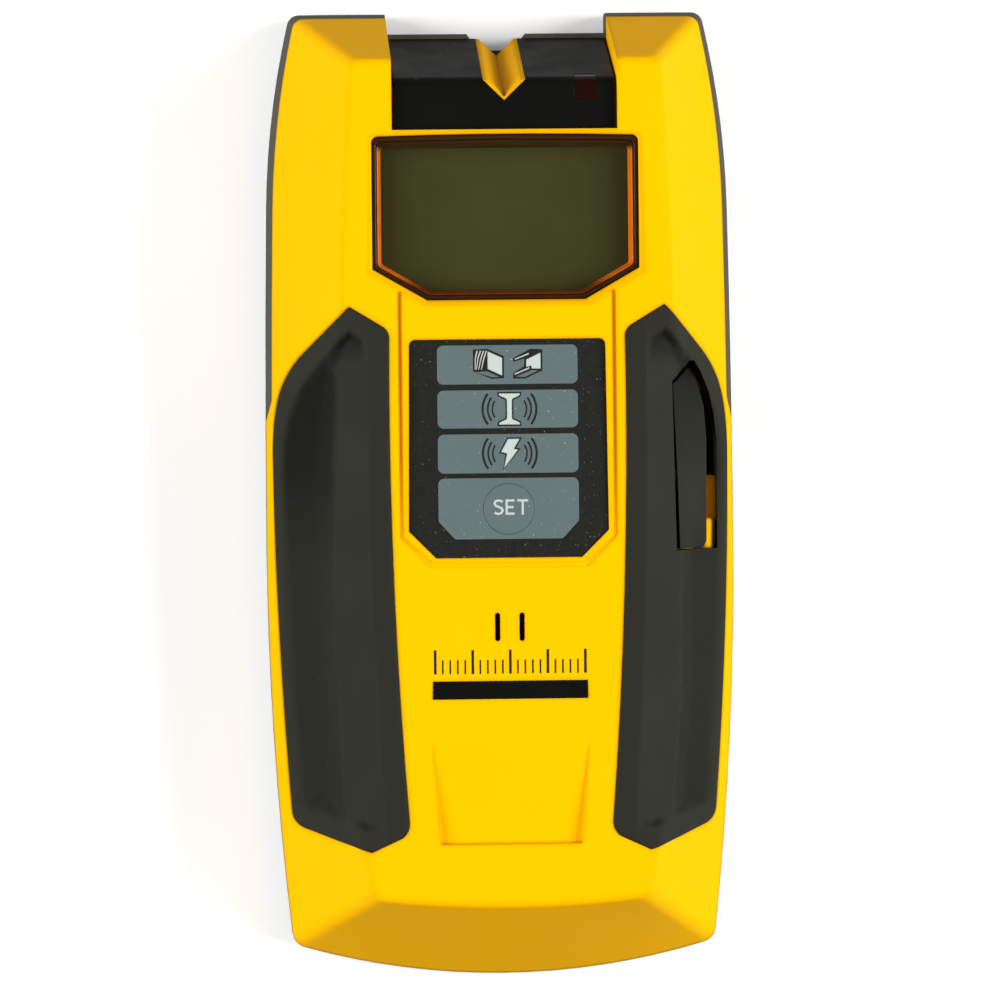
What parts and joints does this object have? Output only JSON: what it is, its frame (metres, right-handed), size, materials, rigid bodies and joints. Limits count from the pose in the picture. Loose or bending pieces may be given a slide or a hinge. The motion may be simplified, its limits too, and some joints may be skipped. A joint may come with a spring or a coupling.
{
  "type": "stud finder",
  "caption": "Hand-held wall scanner with a display, a mode keypad, rubber side grips, a side power lever, a marking notch and a battery bay in its back.",
  "frame": {"origin": "middle of the case's footprint, on the plane of the glide pads that run on the wall", "axes": "+Z out of the display face, +Y towards the marking notch, +X to the right of the display"},
  "size_m": [0.0784, 0.161, 0.0373],
  "materials": {
    "yellow_shell": "moulded ABS, fine texture",
    "grey_shell": "moulded ABS, fine texture",
    "soft_grip": "matt overmoulded elastomer",
    "black_trim": "satin",
    "red_window": "clear dark red plastic",
    "amber_lens": "clear amber plastic",
    "lcd_glass": "display glass",
    "light_panel": "white light panel",
    "elastomer": "conductive strip",
    "keypad_film": "printed polyester film",
    "key_film": "printed polyester film",
    "clear_guide": "translucent plastic",
    "board_green": "solder mask",
    "chip_black": "epoxy",
    "led_clear": "clear epoxy",
    "led_red": "red epoxy",
    "switch_black": "nylon",
    "switch_white": "nylon",
    "copper": "bare copper",
    "ribbon_grey": "PVC",
    "battery_case": "printed steel can",
    "snap_black": "vinyl",
    "lead_red": "PVC",
    "lead_black": "PVC",
    "foam": "foam pad",
    "zinc_screw": "zinc plated",
    "black_screw": "black oxide",
    "felt": "woven glide pad"
  },
  "bodies": {
    "case": {"front_case": "yellow_shell", "back_case": "grey_shell", "left_grip": "soft_grip", "right_grip": "soft_grip", "top_bar": "black_trim", "wire_lamp_window": "red_window", "display_lens": "amber_lens", "display_glass": "lcd_glass", "display_backlight": "light_panel", "display_connector": "elastomer", "membrane_overlay": "keypad_film", "keypad_light_guide": "clear_guide", "name_badge": "black_trim", "main_board": "board_green", "microcontroller": "chip_black", "board_components": "chip_black", "mode_leds": "led_clear", "wire_warning_led": "led_red", "select_switch": "switch_black", "power_switch": "switch_black", "sounder": "chip_black", "sensor_board": "board_green", "sensor_plates": "copper", "metal_sensing_coil": "copper", "sensor_ribbon": "ribbon_grey", "battery": "battery_case", "battery_snap": "snap_black", "battery_lead_red": "lead_red", "battery_lead_black": "lead_black", "case_screws": "black_screw", "board_screws": "zinc_screw", "sensor_screws": "zinc_screw", "glide_pads": "felt"},
    "lever": {"power_lever": "soft_grip"},
    "power_pin": {"power_plunger": "switch_white"},
    "key": {"select_key": "key_film"},
    "select_pin": {"select_plunger": "switch_white"},
    "door": {"battery_door": "grey_shell", "door_foam": "foam"},
    "latch": {"door_latch": "grey_shell"}
  },
  "joints": [
    {"name": "power_lever_press", "type": "hinge", "parent": "case", "child": "lever", "pos_m": [0.0294, 0.0174, 0.022], "axis": [0, 0, -1], "range_deg": [0, 1.2], "stiffness_Nm_per_rad": 1},
    {"name": "power_pin_travel", "type": "slide", "parent": "case", "child": "power_pin", "axis": [-1, 0, 0], "range_m": [0, 0.00035]},
    {"name": "select_key_press", "type": "slide", "parent": "case", "child": "key", "axis": [0, 0, -1], "range_m": [0, 0.00035], "stiffness_N_per_m": 400},
    {"name": "select_pin_travel", "type": "slide", "parent": "case", "child": "select_pin", "axis": [0, 0, -1], "range_m": [0, 0.00035]},
    {"name": "battery_door_swing", "type": "hinge", "parent": "case", "child": "door", "pos_m": [0, -0.0146, 0.0026], "axis": [1, 0, 0], "range_deg": [0, 90]},
    {"name": "door_latch_flex", "type": "hinge", "parent": "door", "child": "latch", "pos_m": [0, -0.0739, 0.0094], "axis": [1, 0, 0], "range_deg": [0, 8], "stiffness_Nm_per_rad": 0.05}
  ],
  "couplings": [
    {"joint": "power_pin_travel", "follows": "power_lever_press", "m_per_rad": 0.0144},
    {"joint": "select_pin_travel", "follows": "select_key_press", "ratio": 1}
  ]
}
